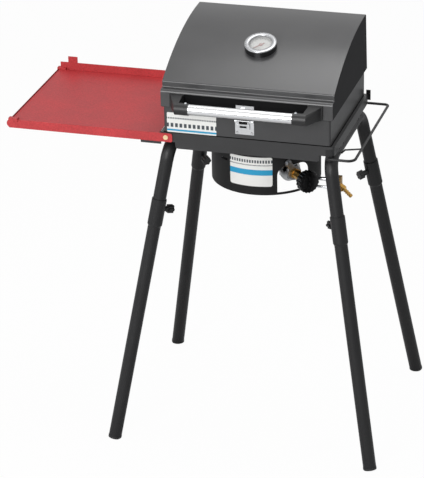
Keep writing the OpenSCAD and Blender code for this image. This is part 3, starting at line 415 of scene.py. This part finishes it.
class GRILL_OT_bright_metal(bpy.types.Operator):
    """Finish the plated, machined and polished metal"""
    bl_idname = "grill.bright_metal"
    bl_label = "Bright Metal"

    def execute(self, context):
        # Zinc plate, tumbled: bright but soft-edged, a little blue
        paint(["saddle_bolts", "drum_screws", "valve_stem", "hinge_pins", "handle_screws",
               "gauge_probe"], bare_metal("Tumbled zinc plate", "#B9BCC0", 0.33))
        # Sheet steel, rolled and left bare: a duller grey with long faint lines
        paint(["burner_strap", "valve_bracket", "heat_diffuser"],
              bare_metal("Rolled bare steel", "#8E8F92", 0.42, (1, 8, 1)))
        # Hot-dipped aluminised tube and shutter: pale, almost white, and satin
        paint(["mixer_tube", "air_shutter"], bare_metal("Aluminised steel", "#C9CBCD", 0.3))
        paint(["inlet_pipe", "stay_rod"], bare_metal("Drawn steel rod", "#C4C5C8", 0.24))
        # Yellow zinc on the shelf's rivets: a warm straw colour
        paint(["shelf_rivets"], bare_metal("Yellow zinc rivet", "#EBD2A8", 0.35))
        # Turned brass: warm, bright on the crests of the barb and dark between them
        paint(["valve_body", "hose_barb"], bare_metal("Turned brass", "#B8914F", 0.26))
        # Polished tube: lines run along it, so its highlight is one bright streak
        paint(["handle_tube"],
              bare_metal("Polished steel tube", "#DCDDDE", 0.20, (0.02, 1, 1)))
        # Nickel plate on pressed sheet: bright, and a little warmer than chrome
        paint(["latch_plate", "latch_flap", "latch_keeper"],
              bare_metal("Nickel plate, latch", "#C2C3C5", 0.24, depth=0.06))
        # Black chrome on the thermometer's case: its side mirrors the lid, but darkly
        paint(["gauge_case"], bare_metal("Black chrome plate", "#5A5A5C", 0.14, depth=0.03))
        return {"FINISHED"}


class GRILL_OT_plastics(bpy.types.Operator):
    """Finish the moulded plastic and rubber"""
    bl_idname = "grill.plastics"
    bl_label = "Plastics"

    def execute(self, context):
        # Phenolic, compression moulded: hard, black and faintly glossy on its edges
        paint(["control_knob"], moulded("Moulded phenolic, knob", "#0A0A0B", 0.22, depth=0.08))
        # Glass-filled nylon: black with a fine spark-eroded texture, which keeps it matt
        paint(["handle_bracket_left", "handle_bracket_right"],
              moulded("Glass-filled nylon, handle caps", "#101011", 0.42))
        paint(per_corner("thumbscrew"), moulded("Glass-filled nylon, grips", "#0F0F10", 0.45))
        # Soft vinyl, dip moulded: quite matt, and greyer than the leg above it
        paint(per_corner("foot_cap"), moulded("Dip-moulded vinyl, feet", "#151516", 0.6))
        return {"FINISHED"}


class GRILL_OT_labels(bpy.types.Operator):
    """Print the box label and the drum label"""
    bl_idname = "grill.labels"
    bl_label = "Labels"

    def execute(self, context):
        band = context.scene.grill_colours.band
        # Foot and top of the coloured band, then the rows of dashes, as shares of the height
        for name, rows in (("box_label", [(0.08, 0.17), (0.27, 0.47, 11.0), (0.68, 0.76, 4.2)]),
                           ("drum_label", [(0.38, 0.57), (0.70, 0.74, 3.0),
                                           (0.80, 0.90, 6.5)])):
            low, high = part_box(name)
            paint([name], label_foil(f"Printed foil, {name.replace('_', ' ')}",
                                     low.z, high.z, band, rows))
        return {"FINISHED"}


# ---- Operators: the pieces made here ----

BEZEL_R, BEZEL_HALF_WIDTH = 33, 6           # mid radius and half width of the bezel
BEZEL_Z, BEZEL_HALF_HEIGHT = 13.1, 2.8      # mid height over the dial's pivot, in mm
MARKS, MARK_STEP, FIRST_MARK = 28, 10, 225  # count, and angles in degrees
MARK_R, MARK_HALF_WIDTH = 26.5, 0.35        # outer end and half width of a mark, in mm
MARK_FOOT, MARK_TOP = 7.0, 7.12             # height of the ink over the pivot, in mm


class GRILL_OT_thermometer(bpy.types.Operator):
    """Fit the thermometer's rolled bezel and the marks printed on its dial"""
    bl_idname = "grill.thermometer"
    bl_label = "Thermometer"

    def execute(self, context):
        point, inward = joint("needle_turn")
        place = axis_frame(point, -inward, (1, 0, 0))
        # The bezel's outline is a flattened ellipse about (R, Z), c = cos t and s = sin t:
        # r = R + half width sign(c) |c|^0.7, z = Z + half height sign(s) |s|^0.8
        t = np.linspace(0, 2 * pi, 32, endpoint=False)
        c, s = np.cos(t), np.sin(t)
        r = BEZEL_R + BEZEL_HALF_WIDTH * np.sign(c) * np.abs(c) ** 0.7
        z = BEZEL_Z + BEZEL_HALF_HEIGHT * np.sign(s) * np.abs(s) ** 0.8
        outline = np.stack([r, z], -1) * MM
        bezel = ring("gauge_bezel", outline, place)
        paint([bezel.name], bare_metal("Satin chrome plate, bezel", "#A6A7A9", 0.26, depth=0.03))
        # Marks in even steps over the needle's travel, with every third one longer
        k = np.arange(MARKS)
        tick = context.scene.grill_sizes.tick
        reach = np.where(k % 3 == 0, tick, 0.6 * tick)
        low = np.tile((MARK_R * MM, -MARK_HALF_WIDTH * MM, MARK_FOOT * MM), (MARKS, 1))
        low[:, 0] -= reach
        high = np.tile((MARK_R * MM, MARK_HALF_WIDTH * MM, MARK_TOP * MM), (MARKS, 1))
        marks = boxes("gauge_marks", low, high, np.radians(FIRST_MARK - MARK_STEP * k), place)
        paint([marks.name], plain("Printed ink", "#3A3B3C", 0.5))
        for piece in (bezel, marks):
            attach(piece, "lid")
        paint(["gauge_dial"], plain("Baked dial enamel", "#CFCFCC", 0.4))
        paint(["gauge_needle"], plain("Needle lacquer", "#A98680", 0.4))
        # Window glass: clear, seen mostly by the sheen across it
        paint(["gauge_glass"], plain("Window glass", "#FFFFFF", 0.06, Alpha=0.12))
        return {"FINISHED"}


SEAM_END = 12                      # the seam shade beads stop this far short of the rear, in mm
LID_SHADE_DROP, LID_SHADE_INSET = 0.4, 0.8   # lid's shade bead under its rim and in from its wall, in mm
BOX_SHADE_BED, SKIRT_SHADE_BED = 0.7, 0.65      # how far the box's and the skirt's shade beads sit in, as parts of a radius


class GRILL_OT_seams(bpy.types.Operator):
    """Lay near-black beads of painted shade along the seams under the lid and the box and under
    the frame's skirt
    """
    bl_idname = "grill.seams"
    bl_label = "Seams"

    def execute(self, context):
        r = context.scene.grill_sizes.shade_bead / 2
        # Painted shade: near-black beads stand in for the dark gaps at the seams
        seam_shade = plain("Painted shade, near-black seam beads", "#0A0A0A", 0.9, **{"Specular IOR Level": 0.1})
        lid, box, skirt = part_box("lid_cover"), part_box("grill_box"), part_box("stove_frame")
        for name, (low, high), z, inset, body in (
                ("lid_seam_shade", lid, lid[0].z - LID_SHADE_DROP * MM, LID_SHADE_INSET * MM + r, "lid"),
                ("box_seam_shade", box, skirt[1].z + BOX_SHADE_BED * r, -BOX_SHADE_BED * r, "stove"),
                ("skirt_seam_shade", skirt, skirt[0].z + SKIRT_SHADE_BED * r, r, "stove")):
            x, y = high.x - inset, low.y + inset
            back = high.y - SEAM_END * MM
            path = [(-x, back, z), *[(-x, s, z) for s in np.linspace(back, y + r, 12)[1:]],
                    *[(s, y, z) for s in np.linspace(-x + r, x - r, 24)],
                    *[(x, s, z) for s in np.linspace(y + r, back, 12)]]
            piece = bead(name, path, r)
            paint([name], seam_shade)
            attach(piece, body)
        return {"FINISHED"}


STRIP_FOOT, STRIP_TOP = 1, 35      # heights over the lid's rim, in mm
STRIP_PROUD, STRIP_SUNK = 0.25, 0.2    # how far it stands out of the wall and into it
CAP_WIDTH = 33                     # from a handle cap's outer end to the strip, in mm


class GRILL_OT_handle_shadow_strip(bpy.types.Operator):
    """Lay a matt dark strip across the lid's wall behind the handle, as painted shadow of the bar
    """
    bl_idname = "grill.handle_strip"
    bl_label = "Handle Shadow Strip"

    def execute(self, context):
        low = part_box("lid_cover")[0]
        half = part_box("handle_bracket_right")[1].x - CAP_WIDTH * MM
        strip = boxes("handle_shadow_strip",
                      (-half, low.y - STRIP_PROUD * MM, low.z + STRIP_FOOT * MM),
                      (half, low.y + STRIP_SUNK * MM, low.z + STRIP_TOP * MM))
        # Painted shadow: matt and darker than the lid, standing in for the shade on the wall
        # behind the bar
        paint(["handle_shadow_strip"],
              powder_coat("Painted shadow, matt strip behind the handle", context.scene.grill_colours.legs,
                          0.7, shade_by=0.5, gloss=0.05))
        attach(strip, "lid")
        return {"FINISHED"}


EDGE_RADIUS = 0.6                  # radius of the shelf's shade beads, as a part of the seam shade beads' diameter
TRAY_DROP = 4                      # the tray's floor under the top of the frame, in mm
LIP_LEFT, FOLD_RIGHT = 9, 35       # insets of the edges' ends from the shelf's box, in mm
EDGE_FRONT, EDGE_BACK = 4, 3.2


class GRILL_OT_shelf_edges(bpy.types.Operator):
    """Lay beads of darker red along the shelf's lip and rear fold, as painted shade in its folds
    """
    bl_idname = "grill.shelf_edges"
    bl_label = "Shelf Edges"

    def execute(self, context):
        r = EDGE_RADIUS * context.scene.grill_sizes.shade_bead
        low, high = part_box("side_shelf")
        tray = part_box("stove_frame")[1].z - TRAY_DROP * MM
        left, right = low.x + LIP_LEFT * MM, high.x - FOLD_RIGHT * MM
        front, back = low.y + EDGE_FRONT * MM, high.y - EDGE_BACK * MM
        run = np.linspace(0, 1, 16)[:, None]
        # Painted shade: the beads are a darker red for the shade along the lip and the fold
        shelf_shade = powder_coat("Painted shade, red shelf folds", context.scene.grill_colours.shelf,
                           0.6, shade_by=0.3, gloss=0.1)
        for name, start, end in (
                ("shelf_lip_shade", (left, front, tray + r), (left, back, tray + r)),
                ("shelf_fold_shade", (left, back, tray + 0.4 * r), (right, back, tray + 0.4 * r))):
            piece = bead(name, (1 - run) * start + run * end, r)
            paint([name], shelf_shade)
            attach(piece, "shelf")
        return {"FINISHED"}


PAD_LEFT, PAD_RIGHT = 8, 29        # ends of the pad from the flap's left end, in mm
PAD_FOOT, PAD_TOP = 3, 19.5        # heights over the flap's lower edge
PAD_FACE, PAD_BACK = 2.4, 1.55     # distances in front of the box


class GRILL_OT_latch_shadow_pad(bpy.types.Operator):
    """Set a near-black pad behind the latch flap's slot, as painted shadow"""
    bl_idname = "grill.latch_pad"
    bl_label = "Latch Shadow Pad"

    def execute(self, context):
        front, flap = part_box("grill_box")[0].y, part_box("latch_flap")[0]
        # Painted shadow: a near-black pad where the flap's slot shows only shade
        pad = boxes("latch_shadow_pad",
                    (flap.x + PAD_LEFT * MM, front - PAD_FACE * MM, flap.z + PAD_FOOT * MM),
                    (flap.x + PAD_RIGHT * MM, front - PAD_BACK * MM, flap.z + PAD_TOP * MM))
        paint([pad.name], plain("Painted shadow behind the latch flap", "#111112", 0.75,
                                **{"Specular IOR Level": 0.2}))
        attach(pad, "stove")
        return {"FINISHED"}


# ---- Operators: studio ----

def sees_background(tree):
    """1 for the rays that should find plain white behind the object, as pale as the floor's
    far end: those of the camera and those that polished metal and glass send out."""
    path = node(tree, "ShaderNodeLightPath")
    some = node(tree, "ShaderNodeMath", (path, "Is Camera Ray", 0), (path, "Is Glossy Ray", 1))
    return node(tree, "ShaderNodeMath", (some, "Value", 0), (path, "Is Transmission Ray", 1),
                use_clamp=True)


def soft_light(name, place, target, size, watts, code="#FFFFFF"):
    """A square soft box at a place, turned towards a target."""
    data = bpy.data.lights.new(name, "AREA")
    data.shape, data.size, data.energy = "SQUARE", size, watts
    data.color = srgb(code)[:3]
    lamp = bpy.data.objects.new(name, data)
    lamp.location = place
    lamp.rotation_euler = (Vector(target) - Vector(place)).to_track_quat("-Z", "Y").to_euler()
    bpy.context.collection.objects.link(lamp)


WHITE_PART = 0.97                    # share of plain white in what the camera sees of the floor
LENS, DISTANCE = 185.85, 6170.6      # focal length and distance from the aim, in mm
AIM = (-143.28, 0, 442.67)           # what the camera looks at, in mm
AZIMUTH, HEIGHT, ROLL = 16.68, 24.58, -1.21      # in degrees, azimuth from the front


class GRILL_OT_studio(bpy.types.Operator):
    """Set up the pale floor, the soft boxes and the camera"""
    bl_idname = "grill.studio"
    bl_label = "Studio"

    def execute(self, context):
        scene = context.scene
        half = scene.grill_sizes.floor / 2
        # Pale paper: mostly white to the camera, with a faint shadow left in it
        m, tree, bsdf, _ = shade("Pale studio paper")
        bsdf.inputs["Base Color"].default_value = srgb("#F4F4F4")
        bsdf.inputs["Roughness"].default_value = 0.9
        white = node(tree, "ShaderNodeEmission", in_Strength=1.0)
        path = node(tree, "ShaderNodeLightPath")
        part = node(tree, "ShaderNodeMath", (path, "Is Camera Ray", 0), operation="MULTIPLY",
                    in_1=WHITE_PART)
        both = node(tree, "ShaderNodeMixShader", (part, "Value", 0), (bsdf, "BSDF", 1),
                    (white, "Emission", 2))
        tree.links.new(both.outputs[0], tree.nodes["Material Output"].inputs["Surface"])
        edge = np.linspace(-half, half, 2)
        x, y = np.meshgrid(edge, edge, indexing="ij")
        floor = surface("studio_floor", np.stack([x, y, np.full_like(x, -1 * MM)], -1))
        paint(["studio_floor"], m)

        world = scene.world or bpy.data.worlds.new("Studio")
        scene.world = world
        world.use_nodes = True
        tree = world.node_tree
        sky = node(tree, "ShaderNodeMixRGB", (sees_background(tree), "Value", "Fac"),
                   in_Color1=(0.22, 0.224, 0.23, 1), in_Color2=(0.976, 0.976, 0.976, 1))
        tree.links.new(sky.outputs["Color"], tree.nodes["Background"].inputs["Color"])
        tree.nodes["Background"].inputs["Strength"].default_value = 1.0

        middle = (0, 0, 0.75)
        soft_light("key_box", (-0.6, -3.2, 2.0), middle, 1.8, 76)
        soft_light("fill_box", (-2.6, -1.6, 1.4), middle, 1.6, 14)
        soft_light("top_box", (0.1, 0.45, 3.2), middle, 1.5, 26)

        data = bpy.data.cameras.new("front_view")
        data.lens, data.clip_end = LENS, 50
        camera = bpy.data.objects.new("front_view", data)
        azimuth, height, roll = radians(AZIMUTH), radians(HEIGHT), radians(ROLL)
        back = Vector((sin(azimuth) * cos(height), -cos(azimuth) * cos(height), sin(height)))
        right = (-back).cross(Vector((0, 0, 1))).normalized()
        up = right.cross(-back)
        across = cos(roll) * right + sin(roll) * up
        upright = -sin(roll) * right + cos(roll) * up
        camera.matrix_world = Matrix.Translation(
            Vector(AIM) * MM + back * DISTANCE * MM) @ Matrix(
            (across, upright, back)).transposed().to_4x4()
        scene.collection.objects.link(camera)
        scene.camera = camera
        scene.view_settings.view_transform = "Standard"
        return {"FINISHED"}


# ---- Panel, registration and the order of work ----

OPERATORS = [GRILL_OT_steelwork, GRILL_OT_castings, GRILL_OT_bright_metal,
             GRILL_OT_plastics, GRILL_OT_labels, GRILL_OT_thermometer, GRILL_OT_seams,
             GRILL_OT_handle_shadow_strip, GRILL_OT_shelf_edges, GRILL_OT_latch_shadow_pad, GRILL_OT_studio]


class GRILL_PT_build(bpy.types.Panel):
    """Lists the grill's colours, sizes and pieces"""
    bl_idname = "GRILL_PT_build"
    bl_label = "Gas Barbecue Grill"
    bl_space_type = "VIEW_3D"
    bl_region_type = "UI"
    bl_category = "Grill"

    def draw(self, context):
        for group in (context.scene.grill_colours, context.scene.grill_sizes):
            column = self.layout.column(align=True)
            for key in group.__annotations__:
                column.prop(group, key)
        column = self.layout.column(align=True)
        for operator in OPERATORS:
            column.operator(operator.bl_idname)


CLASSES = [GrillColours, GrillSizes, *OPERATORS, GRILL_PT_build]


def register():
    for c in CLASSES:
        bpy.utils.register_class(c)
    bpy.types.Scene.grill_colours = PointerProperty(type=GrillColours)
    bpy.types.Scene.grill_sizes = PointerProperty(type=GrillSizes)


def unregister():
    del bpy.types.Scene.grill_sizes
    del bpy.types.Scene.grill_colours
    for c in reversed(CLASSES):
        bpy.utils.unregister_class(c)


def main():
    register()
    for operator in OPERATORS:
        group, name = operator.bl_idname.split(".")
        getattr(getattr(bpy.ops, group), name)()


if __name__ == "__main__":
    main()
